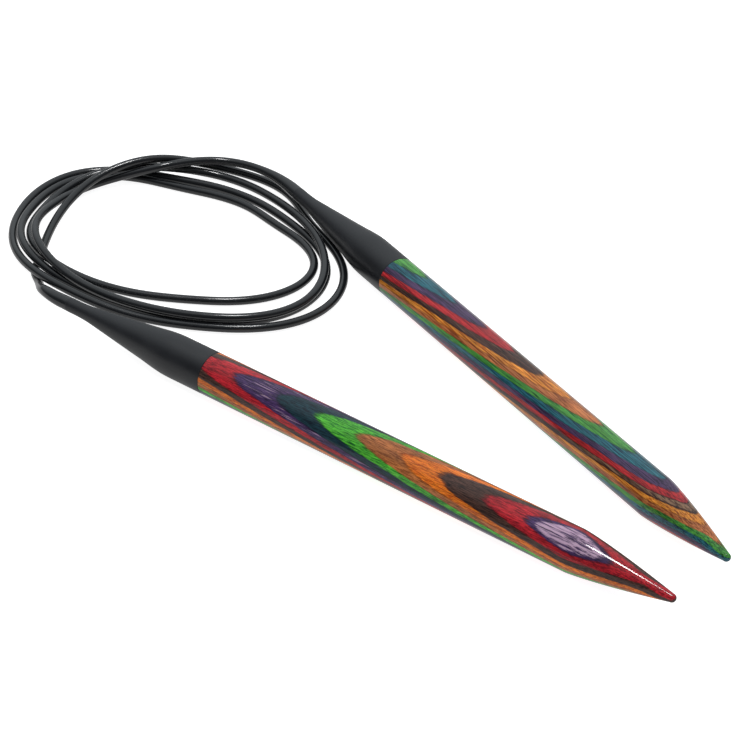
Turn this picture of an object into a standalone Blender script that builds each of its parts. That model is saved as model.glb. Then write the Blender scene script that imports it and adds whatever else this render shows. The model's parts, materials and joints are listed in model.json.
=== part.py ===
"""Fixed circular knitting needle: two tapered laminated-wood rods, each in a black plastic join, on one
flexible cable that lies in about four and a half loose turns.

Frame: +X is the mean direction of the two points, +Z is up, and the floor is at z = 0. The origin is the
middle of the two tips' box, on the floor. Lengths are in metres.
"""

import math

import bmesh
import bpy
import numpy as np

MM = 0.001
GAP = 0.3 * MM  # left between pieces that touch
ROUND_STEPS = 32  # facets around every turned piece

# Rods
ROD_RADIUS = 4.5 * MM
ROD_LENGTH = 112.2 * MM  # from the join to the point
TAPER_LENGTH = 23 * MM
POINT_RADIUS = 0.9 * MM
TAPER_POWER = 1.25  # 1 is a straight cone, more is fuller
TENON_RADIUS = 3 * MM
TENON_LENGTH = 10 * MM

# Joins (ferrules)
FERRULE_LENGTH = 39.7 * MM
NECK_RADIUS = 1.5 * MM
NECK_BORE_RADIUS = 1.05 * MM
CHAMBER_END = 22 * MM  # where the crimp's chamber narrows to the neck's bore
FERRULE_OUTLINE = (  # millimetres back from the rod, and radius
    (0, 4.5), (9.8, 4.5), (11.8, 4.36), (13.8, 4.1), (15.8, 3.78), (32.5, 1.68), (34.5, 1.54), (36.5, 1.5)
)

# Cable and the crimps on its ends
CABLE_RADIUS = 0.9 * MM
CABLE_END_RADIUS = 0.8 * MM  # the core, stripped inside the join
CRIMP_RADIUS = 1.5 * MM
CRIMP_LENGTH = 9 * MM

# How the two tips lie: a V that closes towards the points
SPLAY = math.radians(9.05)
JOINT_SPREAD = 51.6 * MM
JOINT_STAGGER = 1.9 * MM  # the front tip lies this much further towards +X

# The coil: radius and height of the cable's centre line, in millimetres, from the front join to the back one.
# The cable leaves the front join's neck and dives under the turns, then goes round clockwise, seen from above.
LOOP_CENTRE = (-81.5, 4.5)
DIVE = (  # degrees, radius and height
    (272, 36.8, 4.2), (266, 35.3, 2.6), (259, 33.4, 1.15), (252, 32.5, 1.05), (246, 30.75, 1)
)
STATION_STEP = 30
FIRST_STATION = 240
TURNS = (
    ((29.5, 1), (27.25, 1.75), (27, 4), (26.25, 5.25), (29, 1.75), (29.5, 1),
     (28.75, 1), (36.5, 1), (40.25, 1.25), (34.25, 1.25), (31, 1.5), (32.5, 3.25)),
    ((34.75, 2.25), (36, 1), (34.75, 1), (26, 1), (22.25, 1), (22.25, 1),
     (25.25, 1), (32.75, 1), (36, 1), (31.75, 1), (27.75, 1), (28.75, 1.75)),
    ((33, 3.5), (33.75, 1.75), (32.5, 1), (23, 1), (19.25, 1), (19.5, 1),
     (22.25, 1), (30, 1), (29, 1), (23.75, 1), (22.5, 1), (25.75, 2)),
    ((30.75, 3), (31.75, 1), (30.5, 2.25), (26, 3.25), (26.5, 1.25), (25.25, 1.5),
     (26.5, 2.75), (32.25, 3.25), (37.5, 3), (33, 3), (28.75, 2.75), (29, 3.75)),
    ((30.5, 5.25), (29.75, 2.75), (28.25, 1.5), (24, 4.5), (28, 4.25)),
)
CABLE_STEP = 20  # degrees of coil between two points of the cable's curve


def clear_scene():
    for obj in list(bpy.data.objects):
        bpy.data.objects.remove(obj, do_unlink=True)


def material(name, colour, roughness):
    made = bpy.data.materials.new(name)
    made.use_nodes = True
    shader = made.node_tree.nodes["Principled BSDF"]
    shader.inputs["Base Color"].default_value = (*colour, 1)
    shader.inputs["Roughness"].default_value = roughness
    made.diffuse_color = (*colour, 1)
    return made


def turned(name, outline, look, closed=False):
    """A solid turned about its own X axis from (x, radius) points, a closed ring of them where it has a bore."""
    mesh = bmesh.new()
    points = [mesh.verts.new((x, 0, radius)) for x, radius in outline]
    pairs = list(zip(points, points[1:]))
    if closed:
        pairs.append((points[-1], points[0]))
    edges = [mesh.edges.new(pair) for pair in pairs]
    bmesh.ops.spin(
        mesh, geom=points + edges, cent=(0, 0, 0), axis=(1, 0, 0), angle=2 * math.pi, steps=ROUND_STEPS
    )
    bmesh.ops.remove_doubles(mesh, verts=mesh.verts, dist=1e-6)
    bmesh.ops.dissolve_degenerate(mesh, edges=mesh.edges, dist=1e-7)
    bmesh.ops.recalc_face_normals(mesh, faces=mesh.faces)
    data = bpy.data.meshes.new(name)
    mesh.to_mesh(data)
    mesh.free()
    data.shade_smooth()
    data.set_sharp_from_angle(angle=math.radians(40))
    data.materials.append(look)
    obj = bpy.data.objects.new(name, data)
    bpy.context.collection.objects.link(obj)
    return obj


def arc(centre, radius, start, end, steps):
    """(x, radius) points on a circle about (centre, 0), from one angle to another, in degrees."""
    angles = np.radians(np.linspace(start, end, steps))
    return [(centre + radius * math.cos(a), max(radius * math.sin(a), 0)) for a in angles]


# Each tip is drawn with its pivot, the middle of the neck's round end, at the origin and its point towards +X.
PIVOT_TO_JOINT = FERRULE_LENGTH - NECK_RADIUS


def rod_outline():
    joint = PIVOT_TO_JOINT
    shoulder = joint + ROD_LENGTH - TAPER_LENGTH
    cap = joint + ROD_LENGTH - POINT_RADIUS
    outline = [
        (joint - TENON_LENGTH, 0),
        (joint - TENON_LENGTH, TENON_RADIUS),
        (joint + GAP, TENON_RADIUS),
        (joint + GAP, ROD_RADIUS),
    ]
    for part in np.linspace(0, 1, 10)[:-1]:
        radius = POINT_RADIUS + (ROD_RADIUS - POINT_RADIUS) * (1 - part**TAPER_POWER)
        outline.append((shoulder + part * (cap - shoulder), radius))
    return outline + arc(cap, POINT_RADIUS, 90, 0, 5)


def ferrule_outline():
    joint = PIVOT_TO_JOINT
    outside = [(joint - back * MM, radius * MM) for back, radius in FERRULE_OUTLINE]
    lip = math.degrees(math.asin(NECK_BORE_RADIUS / NECK_RADIUS))
    round_end = arc(0, NECK_RADIUS, 90, 180 - lip, 4)
    socket_radius = TENON_RADIUS + GAP
    socket_end = joint - TENON_LENGTH - GAP
    chamber_radius = CRIMP_RADIUS + GAP
    inside = [
        (joint - CHAMBER_END, NECK_BORE_RADIUS),
        (joint - CHAMBER_END, chamber_radius),
        (socket_end, chamber_radius),
        (socket_end, socket_radius),
        (joint, socket_radius),
    ]
    return outside + round_end + inside


def anchor_outline():
    crimp_end = PIVOT_TO_JOINT - TENON_LENGTH - 2 * GAP
    crimp_start = crimp_end - CRIMP_LENGTH
    return [
        (0, 0),
        (0, CABLE_END_RADIUS),
        (crimp_start, CABLE_END_RADIUS),
        (crimp_start, CRIMP_RADIUS),
        (crimp_end, CRIMP_RADIUS),
        (crimp_end, 0),
    ]


def reach_forward():
    """From the joint to the furthest +X of a point."""
    return (ROD_LENGTH - POINT_RADIUS) * math.cos(SPLAY) + POINT_RADIUS


def reach_back():
    """From the joint to the furthest -X of a neck's round end."""
    return PIVOT_TO_JOINT * math.cos(SPLAY) + NECK_RADIUS


def tip_place(side):
    """The pivot and the direction of the front (side -1) or back (side +1) tip."""
    joint_x = (reach_back() - reach_forward()) / 2 - side * JOINT_STAGGER / 2
    angle = -side * SPLAY
    direction = np.array([math.cos(angle), math.sin(angle), 0])
    joint = np.array([joint_x, side * JOINT_SPREAD / 2, ROD_RADIUS])
    return joint - direction * PIVOT_TO_JOINT, angle, direction


def make_tip(side, prefix, wood, plastic, metal):
    pivot, angle, _ = tip_place(side)
    swing = bpy.data.objects.new(prefix + "_swing", None)
    swing.empty_display_size = 5 * MM
    swing.location = pivot
    swing.rotation_euler = (0, 0, angle)
    bpy.context.collection.objects.link(swing)
    pieces = (
        turned(prefix + "_needle", rod_outline(), wood),
        turned(prefix + "_ferrule", ferrule_outline(), plastic, closed=True),
        turned(prefix + "_cable_anchor", anchor_outline(), metal),
    )
    for piece in pieces:
        piece.parent = swing


def polar(point):
    """Angle in degrees and radius about the coil's centre, and height, in millimetres."""
    across = np.array(point[:2]) / MM - LOOP_CENTRE
    return math.degrees(math.atan2(across[1], across[0])) % 360, math.hypot(*across), point[2] / MM


def route():
    """The coil's stations: falling angle in degrees, radius and height in millimetres."""
    front, _, front_way = tip_place(-1)
    back, _, back_way = tip_place(1)
    start = NECK_RADIUS + GAP
    straight = start + 2 * MM
    stations = [polar(front - front_way * out) for out in (start, straight)]
    stations += DIVE
    places = [place for turn in TURNS for place in turn]
    for count, (radius, height) in enumerate(places):
        stations.append((FIRST_STATION - count * STATION_STEP, radius, height))
    for out in (straight, start):
        angle, radius, height = polar(back - back_way * out)
        stations.append((angle - 4 * 360, radius, height))
    return np.array(stations)


def smooth_curve(knots, values, wanted):
    """The natural cubic spline through (knots, values), read at the wanted places."""
    step = np.diff(knots)
    slope = np.diff(values) / step
    size = len(knots)
    matrix = np.eye(size)
    right = np.zeros(size)
    for i in range(1, size - 1):
        matrix[i, i - 1 : i + 2] = step[i - 1], 2 * (step[i - 1] + step[i]), step[i]
        right[i] = 6 * (slope[i] - slope[i - 1])
    bend = np.linalg.solve(matrix, right)
    at = np.clip(np.searchsorted(knots, wanted, side="right") - 1, 0, size - 2)
    along = wanted - knots[at]
    first = slope[at] - step[at] * (2 * bend[at] + bend[at + 1]) / 6
    cubic = (bend[at + 1] - bend[at]) / (6 * step[at])
    return values[at] + along * (first + along * (bend[at] / 2 + along * cubic))


def cable_points():
    stations = route()
    turned_by = -stations[:, 0]
    dive_end = -FIRST_STATION
    dive = np.linspace(turned_by[0], dive_end, 9)
    coil = np.arange(dive_end + CABLE_STEP, turned_by[-1] - CABLE_STEP / 2, CABLE_STEP)
    wanted = np.concatenate([dive, coil, turned_by[-2:]])
    radius = smooth_curve(turned_by, stations[:, 1], wanted)
    height = smooth_curve(turned_by, stations[:, 2], wanted)
    angle = np.radians(-wanted)
    x = LOOP_CENTRE[0] + radius * np.cos(angle)
    y = LOOP_CENTRE[1] + radius * np.sin(angle)
    return np.stack([x, y, height], axis=1) * MM


def make_cable(look):
    curve = bpy.data.curves.new("cable", "CURVE")
    curve.dimensions = "3D"
    curve.bevel_depth = CABLE_RADIUS
    curve.bevel_resolution = 2
    curve.use_fill_caps = True
    points = cable_points()
    spline = curve.splines.new("POLY")
    spline.points.add(len(points) - 1)
    for place, point in zip(spline.points, points):
        place.co = (*point, 1)
    spline.use_smooth = True
    curve.materials.append(look)
    obj = bpy.data.objects.new("cable", curve)
    bpy.context.collection.objects.link(obj)


def main():
    clear_scene()
    wood = material("laminated_wood", (0.32, 0.1, 0.06), 0.25)
    plastic = material("black_plastic", (0.012, 0.012, 0.014), 0.35)
    metal = material("crimp_brass", (0.55, 0.4, 0.16), 0.4)
    cord = material("black_cable", (0.014, 0.015, 0.017), 0.3)
    make_tip(-1, "front", wood, plastic, metal)
    make_tip(1, "back", wood, plastic, metal)
    make_cable(cord)
    bpy.context.view_layer.update()


main()
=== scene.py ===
"""The looks of the circular knitting needle: lacquered rods of dyed laminated wood, satin black joins and a
glossy black cable in loose turns, on a white studio floor.

Lengths are in metres, and in millimetres where a comment says so. Each tip has a frame of its own: its
pivot, in the middle of its neck's round end, is the origin, its point is towards +X and +Z is up.
"""

import json
import math

import bmesh
import bpy
import numpy as np
from mathutils import Matrix, Vector


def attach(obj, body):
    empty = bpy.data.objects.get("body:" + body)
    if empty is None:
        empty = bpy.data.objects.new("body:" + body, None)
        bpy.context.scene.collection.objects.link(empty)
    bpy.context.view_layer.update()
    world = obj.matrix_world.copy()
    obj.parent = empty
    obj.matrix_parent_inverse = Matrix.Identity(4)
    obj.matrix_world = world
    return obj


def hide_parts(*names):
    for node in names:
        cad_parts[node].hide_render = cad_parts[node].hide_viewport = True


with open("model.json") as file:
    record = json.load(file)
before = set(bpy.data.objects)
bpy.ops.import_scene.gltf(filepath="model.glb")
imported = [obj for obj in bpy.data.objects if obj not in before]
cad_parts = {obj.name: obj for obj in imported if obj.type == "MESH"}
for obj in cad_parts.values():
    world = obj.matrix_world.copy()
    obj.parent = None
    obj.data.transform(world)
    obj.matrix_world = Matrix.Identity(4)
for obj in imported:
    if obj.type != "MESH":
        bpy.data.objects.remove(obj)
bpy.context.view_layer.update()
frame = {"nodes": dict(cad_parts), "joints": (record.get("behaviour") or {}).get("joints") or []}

MM = 0.001
UP = Vector((0, 0, 1))

# Camera: it looks at a point on the floor, from an azimuth (0 looks along +Y) and an elevation in degrees
CAMERA_AIM = Vector((-0.0206, 0.0035, 0))
CAMERA_DISTANCE = 0.732
CAMERA_AZIMUTH = 47.1
CAMERA_ELEVATION = 34.59
CAMERA_ROLL = 1.35
CAMERA_LENS = 177

# Cable
CABLE_RADIUS = 0.9 * MM
CABLE_STEP = 1.5  # degrees of coil between two points of the cable's curve

# The coil: radius and height of the cable's centre line, in millimetres, from front join to back join.
# The cable leaves the front join's neck, dives under the turns and goes round clockwise, seen from above.
LOOP_CENTRE = (-81.5, 4.5)
DIVE = (  # degrees, radius and height
    (272, 36.8, 4.2), (266, 35.3, 2.6), (259, 33.4, 1.15), (252, 32.5, 1.05), (246, 30.75, 1)
)
STATION_STEP = 30
FIRST_STATION = 240
WHOLE_TURNS = 4
TURNS = (
    ((29.5, 1), (27.25, 1.75), (27, 4), (26.25, 5.25), (29, 1.75), (29.5, 1),
     (28.75, 1), (36.5, 1), (40.25, 1.25), (34.25, 1.25), (31, 1.5), (32.5, 3.25)),
    ((34.75, 2.25), (36, 1), (34.75, 1), (26, 1), (22.25, 1), (22.25, 1),
     (25.25, 1), (32.75, 1), (36, 1), (31.75, 1), (27.75, 1), (28.75, 1.75)),
    ((33, 3.5), (33.75, 1.75), (32.5, 1), (23, 1), (19.25, 1), (19.5, 1),
     (22.25, 1), (30, 1), (29, 1), (23.75, 1), (22.5, 1), (25.75, 2)),
    ((30.75, 3), (31.75, 1), (30.5, 2.25), (26, 3.25), (26.5, 1.25), (25.25, 1.5),
     (26.5, 2.75), (32.25, 3.25), (37.5, 3), (33, 3), (28.75, 2.75), (29, 3.75)),
    ((30.5, 5.25), (29.75, 2.75), (28.25, 1.5), (24, 4.5), (28, 4.25)),
)
NECK_CLEARANCE = 1.8  # millimetres from the pivot to where the cable's stations start
STRAIGHT_EXIT = 2  # millimetres that the cable runs straight there
FLARE_LENGTH = 15  # millimetres over which the neck's plastic thins out on the cable
FLARE = 1.65  # how much thicker the cable starts there

# Rods and joins, in millimetres
SIDES = 128
ROD_STEPS = 40  # points of the outlines: along the straight rod, its taper, a round end and a join
TAPER_STEPS = 30
CAP_STEPS = 12
JOIN_STEPS = 110
SHARP_ANGLE = 32  # degrees between two faces from which their edge stays sharp
TAPER_LENGTH = 23
TAPER_POWER = 1.25  # 1 is a straight cone, more is fuller
POINT_RADIUS = 0.9
TENON_RADIUS = 3
TENON_LENGTH = 10
NECK_RADIUS = 1.5
NECK_BORE_RADIUS = 1.05
BORE_PAST_PIVOT = 0.2  # the bore ends this much past the cable's core
CHAMBER_RADIUS = 1.8
CHAMBER_END = 22
SOCKET_GAP = 0.3
EDGE = 0.08  # the eased edges where rod and join meet
JOIN_OUTLINE = (  # back from the rod, and radius
    (0, 4.5), (9.8, 4.5), (11.8, 4.36), (13.8, 4.1), (15.8, 3.78), (32.5, 1.68), (34.5, 1.54), (36.5, 1.5)
)
JOIN_EASING = 1.2  # half the length over which the outline's corners are rounded
EASING_STEPS = 13

# The laminate, in millimetres
PLY_EDGE = 0.15  # over this one ply's dye runs into the next, through a dark glue line
GLUE_TONE = 0.5  # how light the glue line is, next to its two plies
PLY_SINKS = (126, 140)  # where along the tip the plies sink, over the taper
PLY_RISES = (143, 150)  # where they rise again, at the point
PLY_WAVES = (  # waves in the plies: length, width, detail, roughness, where in the noise, and height
    (45, 7, 1.0, 0.5, 3.0, 0.5),
    (9, 1.6, 2.0, 0.5, 7.0, 0.3),
    (1.8, 0.2, 3.0, 0.6, 1.0, 0.26),
)
PATCHES_GROW = 10  # along the rod, from where the pale patches start to their full strength

# The plies in order, each with its thickness, ground colour and fibre colour
FRONT_PLIES = (
    ("purple", 0.95, (72, 50, 94), (44, 30, 58)),
    ("teal", 0.98, (30, 60, 70), (20, 36, 48)),
    ("green", 0.95, (88, 188, 58), (34, 108, 42)),
    ("amber", 0.90, (184, 112, 62), (130, 72, 40)),
    ("orange", 0.82, (236, 126, 40), (184, 80, 26)),
    ("brown", 0.92, (84, 58, 50), (48, 34, 32)),
    ("red", 0.88, (194, 40, 50), (120, 22, 34)),
)
BACK_PLIES = (
    ("purple", 0.95, (82, 60, 96), (42, 32, 58)),
    ("teal", 0.98, (44, 108, 122), (20, 50, 68)),
    ("green", 0.95, (82, 158, 68), (30, 88, 48)),
    ("amber", 0.90, (196, 120, 70), (124, 60, 34)),
    ("orange", 0.82, (236, 152, 60), (160, 76, 30)),
    ("brown", 0.92, (82, 54, 46), (42, 30, 28)),
    ("red", 0.88, (196, 48, 52), (112, 24, 36)),
)
LILAC = (212, 178, 204)
TAN = (190, 150, 116)

# Studio
BACKDROP = Vector((-0.36, 0.34, 0.87))  # the direction of its brightest part
BACKDROP_EDGE = (0.3, 0.9)  # cosines of the angles from there where it is darkest and brightest
BACKDROP_LIGHT = (0.12, 0.75)
AIR = (0.91, 0.97, 1, 1)  # the tint of its light
FLOOR_PAINT = (0.12, 0.5)  # in light and reflections, and to the eye
FLOOR_GLOW = 0.56
FLOOR_GLOW_SEEN = 0.36  # added to the eye
FLOOR_GLOW_SOFT = 0.27  # added in soft light


def srgb(colour):
    """A linear colour with alpha from one in 0 to 255 sRGB."""
    parts = [part / 255 for part in colour]
    return tuple(p / 12.92 if p <= 0.04045 else ((p + 0.055) / 1.055) ** 2.4 for p in parts) + (1,)


# ---- Camera


def make_camera():
    data = bpy.data.cameras.new("camera")
    data.lens = CAMERA_LENS
    data.sensor_width = 36
    data.clip_start = 0.01
    camera = bpy.data.objects.new("camera", data)
    bpy.context.scene.collection.objects.link(camera)
    azimuth = math.radians(CAMERA_AZIMUTH)
    elevation = math.radians(CAMERA_ELEVATION)
    level = math.cos(elevation)
    back = Vector((math.sin(azimuth) * level, -math.cos(azimuth) * level, math.sin(elevation)))
    camera.location = CAMERA_AIM + back * CAMERA_DISTANCE
    upright = (-back).to_track_quat("-Z", "Y").to_matrix().to_4x4()
    roll = Matrix.Rotation(math.radians(CAMERA_ROLL), 4, "Z")
    camera.rotation_euler = (upright @ roll).to_euler()
    bpy.context.scene.camera = camera


# ---- The frame's places and sizes


def tip_frame(side):
    """The matrix that takes the frame of the "front" or "back" tip into the object's frame."""
    joint = next(joint for joint in frame["joints"] if joint["name"] == side + "_tip_roll")
    along = Vector(joint["axis"]).normalized()
    turn = Matrix((along, UP.cross(along), UP)).transposed().to_4x4()
    return Matrix.Translation(joint["pos_m"]) @ turn


def reach(place, node):
    """The highest x and the largest radius of a CAD node in its tip's frame, in millimetres."""
    into = place.inverted()
    points = [into @ vertex.co / MM for vertex in frame["nodes"][node].data.vertices]
    return max(p.x for p in points), max(math.hypot(p.y, p.z) for p in points)


# ---- Cable


def polar(point):
    """Angle in degrees and radius about the coil's centre, and height, in millimetres."""
    across = np.array(point[:2]) / MM - LOOP_CENTRE
    return math.degrees(math.atan2(across[1], across[0])) % 360, math.hypot(*across), point[2] / MM


def route(front, back):
    """The coil's stations: falling angle in degrees, radius and height in millimetres."""

    def out_of(place, distance):
        return polar(place @ Vector((-distance * MM, 0, 0)))

    straight = NECK_CLEARANCE + STRAIGHT_EXIT
    stations = [out_of(front, distance) for distance in (NECK_CLEARANCE, straight)]
    stations += DIVE
    places = [place for turn in TURNS for place in turn]
    for count, (radius, height) in enumerate(places):
        stations.append((FIRST_STATION - count * STATION_STEP, radius, height))
    for distance in (straight, NECK_CLEARANCE):
        angle, radius, height = out_of(back, distance)
        stations.append((angle - WHOLE_TURNS * 360, radius, height))
    return np.array(stations)


def smooth_curve(knots, values, wanted):
    """The natural cubic spline through (knots, values), read at the wanted places."""
    step = np.diff(knots)
    slope = np.diff(values) / step
    size = len(knots)
    matrix = np.eye(size)
    right = np.zeros(size)
    for i in range(1, size - 1):
        matrix[i, i - 1 : i + 2] = step[i - 1], 2 * (step[i - 1] + step[i]), step[i]
        right[i] = 6 * (slope[i] - slope[i - 1])
    bend = np.linalg.solve(matrix, right)
    at = np.clip(np.searchsorted(knots, wanted, side="right") - 1, 0, size - 2)
    along = wanted - knots[at]
    first = slope[at] - step[at] * (2 * bend[at] + bend[at + 1]) / 6
    cubic = (bend[at + 1] - bend[at]) / (6 * step[at])
    return values[at] + along * (first + along * (bend[at] / 2 + along * cubic))


def cable_points(front, back):
    """The cable's centre line from pivot to pivot."""
    stations = route(front, back)
    turned_by = -stations[:, 0]
    count = round((turned_by[-1] - turned_by[0]) / CABLE_STEP)
    wanted = np.linspace(turned_by[0], turned_by[-1], count)
    radius = smooth_curve(turned_by, stations[:, 1], wanted)
    height = smooth_curve(turned_by, stations[:, 2], wanted)
    angle = np.radians(-wanted)
    x = LOOP_CENTRE[0] + radius * np.cos(angle)
    y = LOOP_CENTRE[1] + radius * np.sin(angle)
    line = np.stack([x, y, height], axis=1) * MM
    return np.vstack([front.translation, line, back.translation])


def make_cable(front, back, look):
    curve = bpy.data.curves.new("cable_cord", "CURVE")
    curve.dimensions = "3D"
    curve.bevel_depth = CABLE_RADIUS
    curve.bevel_resolution = 6
    curve.use_fill_caps = True
    points = cable_points(front, back)
    spline = curve.splines.new("POLY")
    spline.points.add(len(points) - 1)
    along = np.concatenate([[0], np.cumsum(np.linalg.norm(np.diff(points, axis=0), axis=1))]) / MM
    length = along[-1]
    for place, point, run in zip(spline.points, points, along):
        near = max(0, 1 - min(run, length - run) / FLARE_LENGTH)
        place.co = (*point, 1)
        place.radius = 1 + (FLARE - 1) * near * near * (3 - 2 * near)
    spline.use_smooth = True
    curve.materials.append(look)
    cable = bpy.data.objects.new("cable_cord", curve)
    bpy.context.scene.collection.objects.link(cable)
    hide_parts("cable")
    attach(cable, "cable")


# ---- Rods and joins


def turned(name, outline, place, look):
    """A solid turned about its tip's X axis from (x, radius) points in millimetres, both ends on the axis."""
    mesh = bmesh.new()
    points = [mesh.verts.new((x * MM, 0, radius * MM)) for x, radius in outline]
    edges = [mesh.edges.new(pair) for pair in zip(points, points[1:])]
    bmesh.ops.spin(
        mesh, geom=points + edges, cent=(0, 0, 0), axis=(1, 0, 0), angle=2 * math.pi, steps=SIDES
    )
    bmesh.ops.remove_doubles(mesh, verts=mesh.verts, dist=1e-7)
    bmesh.ops.dissolve_degenerate(mesh, edges=mesh.edges, dist=1e-8)
    bmesh.ops.recalc_face_normals(mesh, faces=mesh.faces)
    data = bpy.data.meshes.new(name)
    mesh.to_mesh(data)
    mesh.free()
    data.transform(place)
    data.shade_smooth()
    data.set_sharp_from_angle(angle=math.radians(SHARP_ANGLE))
    data.materials.append(look)
    piece = bpy.data.objects.new(name, data)
    bpy.context.scene.collection.objects.link(piece)
    return piece


def arc(centre, radius, start, end, steps):
    """(x, radius) points on a circle about (centre, 0), from one angle to another, in degrees."""
    angles = np.radians(np.linspace(start, end, steps))
    return [(centre + radius * math.cos(a), max(radius * math.sin(a), 0)) for a in angles]


def rod_outline(joint, end, rod_radius):
    shoulder = end - TAPER_LENGTH
    cap = end - POINT_RADIUS
    outline = [
        (joint - TENON_LENGTH, 0),
        (joint - TENON_LENGTH, TENON_RADIUS),
        (joint, TENON_RADIUS),
        (joint, rod_radius - EDGE),
        (joint + EDGE, rod_radius),
    ]
    outline += [(x, rod_radius) for x in np.linspace(joint + 1, shoulder - 1, ROD_STEPS)]
    for part in np.linspace(0, 1, TAPER_STEPS)[:-1] ** 1.5:
        radius = POINT_RADIUS + (rod_radius - POINT_RADIUS) * (1 - part**TAPER_POWER)
        outline.append((shoulder + part * (cap - shoulder), radius))
    return outline + arc(cap, POINT_RADIUS, 90, 0, CAP_STEPS)


def join_outline(joint, join_radius):
    """The join's outside from its closed neck to the rod, and back along its socket, chamber and bore."""
    back, radii = np.array(JOIN_OUTLINE).T
    places = np.linspace(joint, EDGE, JOIN_STEPS)
    window = np.linspace(-JOIN_EASING, JOIN_EASING, EASING_STEPS)
    outline = arc(0, NECK_RADIUS, 180, 95, CAP_STEPS)
    outline += [(joint - x, float(np.interp(x + window, back, radii).mean())) for x in places]
    socket_end = joint - TENON_LENGTH - SOCKET_GAP
    outline += [
        (joint, join_radius - EDGE),
        (joint, TENON_RADIUS + SOCKET_GAP),
        (socket_end, TENON_RADIUS + SOCKET_GAP),
        (socket_end, CHAMBER_RADIUS),
        (joint - CHAMBER_END, CHAMBER_RADIUS),
        (joint - CHAMBER_END, NECK_BORE_RADIUS),
        (-BORE_PAST_PIVOT, NECK_BORE_RADIUS),
        (-BORE_PAST_PIVOT, 0),
    ]
    return outline


def make_tip(side, place, wood, plastic):
    joint, join_radius = reach(place, side + "_ferrule")
    end, rod_radius = reach(place, side + "_needle")
    rod = turned(side + "_rod", rod_outline(joint, end, rod_radius), place, wood)
    join = turned(side + "_join", join_outline(joint, join_radius), place, plastic)
    for piece, node, slot in ((rod, "_needle", side + "_wood"), (join, "_ferrule", "join_plastic")):
        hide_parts(side + node)
        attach(piece, side + "_tip")


# ---- Materials


class Look:
    """A material and short ways to add nodes to it."""

    def __init__(self, name, **constants):
        self.material = bpy.data.materials.new(name)
        self.material.use_nodes = True
        self.tree = self.material.node_tree
        self.shader = self.tree.nodes["Principled BSDF"]
        for socket, value in constants.items():
            self.shader.inputs[socket.replace("_", " ")].default_value = value

    def node(self, kind, inputs, **settings):
        made = self.tree.nodes.new(kind)
        for name, value in settings.items():
            setattr(made, name, value)
        for name, value in inputs.items():
            self.feed(made.inputs[name], value)
        return made

    def feed(self, socket, value):
        if isinstance(value, bpy.types.NodeSocket):
            self.tree.links.new(value, socket)
        else:
            socket.default_value = value

    def shade(self, socket, value):
        self.feed(self.shader.inputs[socket], value)

    def math(self, operation, *values):
        return self.node("ShaderNodeMath", dict(enumerate(values)), operation=operation).outputs[0]

    def dot(self, a, b):
        made = self.node("ShaderNodeVectorMath", {0: a, 1: b}, operation="DOT_PRODUCT")
        return made.outputs["Value"]

    def place(self, frame_of=Matrix()):
        """The surface point in the object's frame, or in a tip's, in millimetres."""
        own = self.node("ShaderNodeTexCoord", {}).outputs["Object"]
        into = {
            "Vector": own,
            "Location": frame_of.translation,
            "Rotation": frame_of.to_euler(),
            "Scale": (MM, MM, MM),
        }
        return self.node("ShaderNodeMapping", into, vector_type="TEXTURE").outputs[0]

    def noise(self, place, length, width, detail=2.0, roughness=0.5, shift=0.0):
        """Noise from 0 to 1, drawn out along X: its features are length by width millimetres."""
        stretched = self.node(
            "ShaderNodeVectorMath",
            {0: place, 1: (1 / length, 1 / width, 1 / width), 2: (shift, shift, shift)},
            operation="MULTIPLY_ADD",
        ).outputs[0]
        inputs = {"Vector": stretched, "Scale": 1.0, "Detail": detail, "Roughness": roughness}
        return self.node("ShaderNodeTexNoise", inputs).outputs["Fac"]

    def between(self, value, low, high, to_low=0.0, to_high=1.0):
        """A smooth step: to_low where the value is under low, to_high where it is over high."""
        made = self.node(
            "ShaderNodeMapRange", {0: value, 1: low, 2: high, 3: to_low, 4: to_high},
            interpolation_type="SMOOTHSTEP",
        )
        return made.outputs[0]

    def mix(self, factor, a, b, blend="MIX"):
        made = self.node("ShaderNodeMix", {}, data_type="RGBA", blend_type=blend)
        for socket, value in ((0, factor), (6, a), (7, b)):
            self.feed(made.inputs[socket], value)
        return made.outputs[2]

    def bands(self, position, bands, edge):
        """(width, colour) bands along a position from 0 to 1, with a soft dark seam between two."""
        total = sum(width for width, _ in bands)
        stops = []
        start = 0.0
        previous = bands[-1][1]
        for width, colour in bands:
            seam = tuple(GLUE_TONE * (a + b) / 2 for a, b in zip(previous, colour))
            stops += [(start, seam), (start + edge / 2, colour)]
            start += width
            stops.append((start - edge / 2, colour))
            previous = colour
        stops.append((total, stops[0][1]))
        ramp = self.node("ShaderNodeValToRGB", {0: position})
        elements = ramp.color_ramp.elements
        elements[1].color = stops[-1][1]
        for number, (place, colour) in enumerate(stops[:-1]):
            element = elements[0] if number == 0 else elements.new(place / total)
            element.color = colour
        return ramp.outputs[0]

    def bump(self, height, distance):
        made = self.node("ShaderNodeBump", {"Height": height, "Distance": distance, "Strength": 1.0})
        self.shade("Normal", made.outputs[0])


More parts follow.
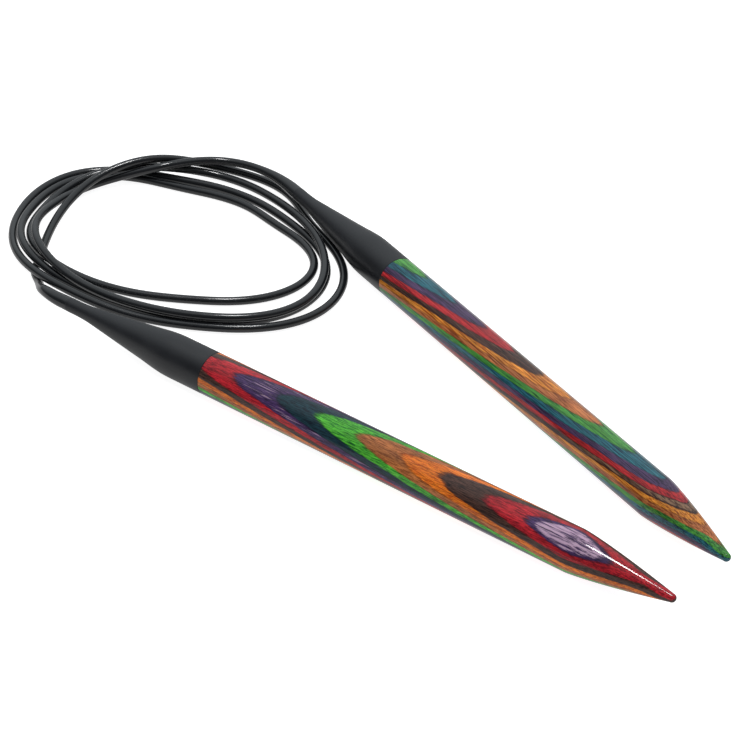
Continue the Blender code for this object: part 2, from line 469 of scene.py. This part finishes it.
def laminated_wood(
    name, tip, plies, grain, facing, tilt, bend, first_ply, pale_ply, pale, bleach, pale_from
):
    """Plies that face `facing` degrees off straight up, and rise `tilt` millimetres in each along the rod.

    Over the taper they sink by bend[0] millimetres, and at the point they rise again by bend[1]. first_ply
    is the height of one purple ply's lower face at the pivot, and grain is how drawn out the fibres are. The
    ply called pale_ply has thin threads of the colour pale, and patches of it, as strong as bleach, from
    pale_from millimetres along the rod.
    """
    look = Look(name, Specular_IOR_Level=0.0, Roughness=0.6, Coat_Weight=1.0, Coat_IOR=1.42)
    place = look.place(tip)
    angle = math.radians(facing)
    across = (tilt, math.sin(angle), math.cos(angle))
    height = look.dot(place, across)
    along = look.node("ShaderNodeSeparateXYZ", {0: place}).outputs[0]
    sinking = look.between(along, *PLY_SINKS, 0.0, -bend[0])
    rising = look.between(along, *PLY_RISES, 0.0, bend[1])
    height = look.math("ADD", look.math("ADD", height, sinking), rising)
    for length, width, detail, roughness, shift, swell in PLY_WAVES:
        wave = look.noise(place, length, width, detail, roughness, shift)
        height = look.math("ADD", height, look.math("MULTIPLY_ADD", wave, swell, -swell / 2))
    cycle = sum(thickness for _, thickness, _, _ in plies)
    turns = look.math("DIVIDE", look.math("SUBTRACT", height, first_ply), cycle)
    position = look.math("FRACT", turns)
    ground = look.bands(position, [(width, srgb(colour)) for _, width, colour, _ in plies], PLY_EDGE)
    fibre = look.bands(position, [(width, srgb(colour)) for _, width, _, colour in plies], PLY_EDGE)
    streaks = look.noise(place, 2.6 * grain, 0.22, detail=4.0, roughness=0.65, shift=11.0)
    colour = look.mix(look.between(streaks, 0.44, 0.62), ground, fibre)

    strokes = look.noise(place, 1.5 * grain, 0.13, detail=2.0, roughness=0.6, shift=31.0)
    colour = look.mix(1.0, colour, look.between(strokes, 0.52, 0.68, 1.0, 0.4), blend="MULTIPLY")
    colour = look.mix(1.0, colour, look.between(strokes, 0.3, 0.44, 1.4, 1.0), blend="MULTIPLY")
    tone = look.noise(place, 14, 1.8, detail=2.0, shift=17.0)
    colour = look.mix(1.0, colour, look.between(tone, 0.3, 0.72, 0.8, 1.2), blend="MULTIPLY")

    depth = look.math("MULTIPLY", position, cycle)
    names = [ply for ply, _, _, _ in plies]
    low = sum(thickness for _, thickness, _, _ in plies[: names.index(pale_ply)])
    high = low + plies[names.index(pale_ply)][1]
    over = look.between(depth, low + 0.16, low + 0.3)
    under = look.between(depth, high - 0.06, high - 0.16)
    inside = look.math("MULTIPLY", over, under)
    thin = look.noise(place, 8, 0.2, detail=3.0, roughness=0.6, shift=41.0)
    threads = look.between(thin, 0.56, 0.66, 0.0, 0.6 * bleach)
    blotches = look.noise(place, 6, 0.35, detail=4.0, roughness=0.65, shift=23.0)
    patches = look.between(blotches, 0.4, 0.58, 0.0, bleach)
    wide = look.math("MULTIPLY", patches, look.between(along, pale_from, pale_from + PATCHES_GROW))
    bleached = look.math("MULTIPLY", inside, look.math("MAXIMUM", threads, wide))
    look.shade("Base Color", look.mix(bleached, colour, srgb(pale)))
    look.shade("Coat Roughness", look.between(tone, 0.3, 0.7, 0.05, 0.08))
    return look.material


def join_plastic():
    """Satin moulded plastic: an even fine texture, with slow changes of gloss."""
    look = Look("join_plastic", IOR=1.5)
    place = look.place()
    mottle = look.noise(place, 6, 4, detail=3.0)
    look.shade("Base Color", look.mix(mottle, srgb((20, 21, 25)), srgb((29, 31, 36))))
    look.shade("Roughness", look.between(mottle, 0.3, 0.7, 0.36, 0.44))
    look.bump(look.noise(place, 0.35, 0.3, detail=2.0), 0.004 * MM)
    return look.material


def cable_plastic():
    """Smooth extruded plastic, with slow changes of gloss."""
    look = Look("cable_plastic", IOR=1.62)
    place = look.place()
    mottle = look.noise(place, 5, 5, detail=2.0)
    look.shade("Base Color", look.mix(mottle, srgb((18, 19, 22)), srgb((26, 28, 32))))
    look.shade("Roughness", look.between(mottle, 0.3, 0.7, 0.13, 0.2))
    return look.material


def crimp_brass():
    look = Look("crimp_brass", Metallic=1.0)
    place = look.place()
    wear = look.noise(place, 1.5, 1.5, detail=4.0)
    look.shade("Base Color", look.mix(wear, srgb((196, 160, 88)), srgb((150, 116, 60))))
    look.shade("Roughness", look.between(wear, 0.3, 0.7, 0.25, 0.45))
    look.bump(wear, 0.01 * MM)
    return look.material


# ---- Studio


def area_light(name, location, target, size, power, glossy):
    """A lamp that only shows in reflections, or one that never does."""
    data = bpy.data.lights.new(name, "AREA")
    data.shape = "DISK" if glossy else "SQUARE"
    data.size = size
    data.energy = power
    light = bpy.data.objects.new(name, data)
    bpy.context.scene.collection.objects.link(light)
    light.location = location
    light.rotation_euler = (Vector(target) - Vector(location)).to_track_quat("-Z", "Y").to_euler()
    light.visible_camera = False
    light.visible_diffuse = not glossy
    light.visible_glossy = glossy
    return light


def make_world():
    """Bright above and behind the object, dim on the camera's side, and white to the eye."""
    world = bpy.data.worlds.new("studio")
    world.use_nodes = True
    tree = world.node_tree
    direction = tree.nodes.new("ShaderNodeTexCoord").outputs["Generated"]
    facing = tree.nodes.new("ShaderNodeVectorMath")
    facing.operation = "DOT_PRODUCT"
    facing.inputs[1].default_value = BACKDROP
    tree.links.new(direction, facing.inputs[0])
    glow = tree.nodes.new("ShaderNodeMapRange")
    glow.interpolation_type = "SMOOTHSTEP"
    tree.links.new(facing.outputs["Value"], glow.inputs[0])
    for socket, value in zip(glow.inputs[1:5], BACKDROP_EDGE + BACKDROP_LIGHT):
        socket.default_value = value
    seen = tree.nodes.new("ShaderNodeLightPath").outputs["Is Camera Ray"]
    strength = tree.nodes.new("ShaderNodeMath")
    strength.operation = "MAXIMUM"
    tree.links.new(glow.outputs[0], strength.inputs[0])
    tree.links.new(seen, strength.inputs[1])
    background = tree.nodes["Background"]
    background.inputs["Color"].default_value = AIR
    tree.links.new(strength.outputs[0], background.inputs["Strength"])
    bpy.context.scene.world = world


def make_floor():
    """White to the eye, with hardly any shadow, and dimmer in the object's reflections."""
    mesh = bmesh.new()
    bmesh.ops.create_grid(mesh, x_segments=1, y_segments=1, size=3)
    data = bpy.data.meshes.new("floor")
    mesh.to_mesh(data)
    mesh.free()
    look = Look("floor_white", Roughness=1.0, Specular_IOR_Level=0.0, Emission_Color=(1, 1, 1, 1))
    path = look.node("ShaderNodeLightPath", {})
    seen = path.outputs["Is Camera Ray"]
    lighting = path.outputs["Is Diffuse Ray"]
    dim, bright = ((grey, grey, grey, 1) for grey in FLOOR_PAINT)
    look.shade("Base Color", look.mix(seen, dim, bright))
    glow = look.math("MULTIPLY_ADD", seen, FLOOR_GLOW_SEEN, FLOOR_GLOW)
    look.shade("Emission Strength", look.math("MULTIPLY_ADD", lighting, FLOOR_GLOW_SOFT, glow))
    data.materials.append(look.material)
    floor = bpy.data.objects.new("floor", data)
    bpy.context.scene.collection.objects.link(floor)


def make_studio():
    bpy.context.scene.view_settings.view_transform = "Standard"
    make_world()
    area_light("softbox", (-0.1, 0.1, 1.3), target=(0, 0, 0), size=1.6, power=14, glossy=False)
    area_light(
        "sparkle", (-0.0965, 0.051, 0.985), target=(0.065, -0.01, 0), size=0.17, power=2.8, glossy=True
    )
    make_floor()


make_camera()
front_place = tip_frame("front")
back_place = tip_frame("back")
make_cable(front_place, back_place, cable_plastic())
plastic = join_plastic()
front_wood = laminated_wood(
    "front_wood", front_place, FRONT_PLIES, grain=1.0, facing=-25, tilt=0.087, bend=(0.5, 1.0),
    first_ply=8.36, pale_ply="purple", pale=LILAC, bleach=0.82, pale_from=104,
)
back_wood = laminated_wood(
    "back_wood", back_place, BACK_PLIES, grain=2.4, facing=17, tilt=-0.09, bend=(0.35, 1.1),
    first_ply=-1.68, pale_ply="brown", pale=TAN, bleach=0.45, pale_from=104,
)
make_tip("front", front_place, front_wood, plastic)
make_tip("back", back_place, back_wood, plastic)
brass = crimp_brass()
for anchor in ("front_cable_anchor", "back_cable_anchor"):
    frame["nodes"][anchor].data.materials.clear()
    frame["nodes"][anchor].data.materials.append(brass)
make_studio()
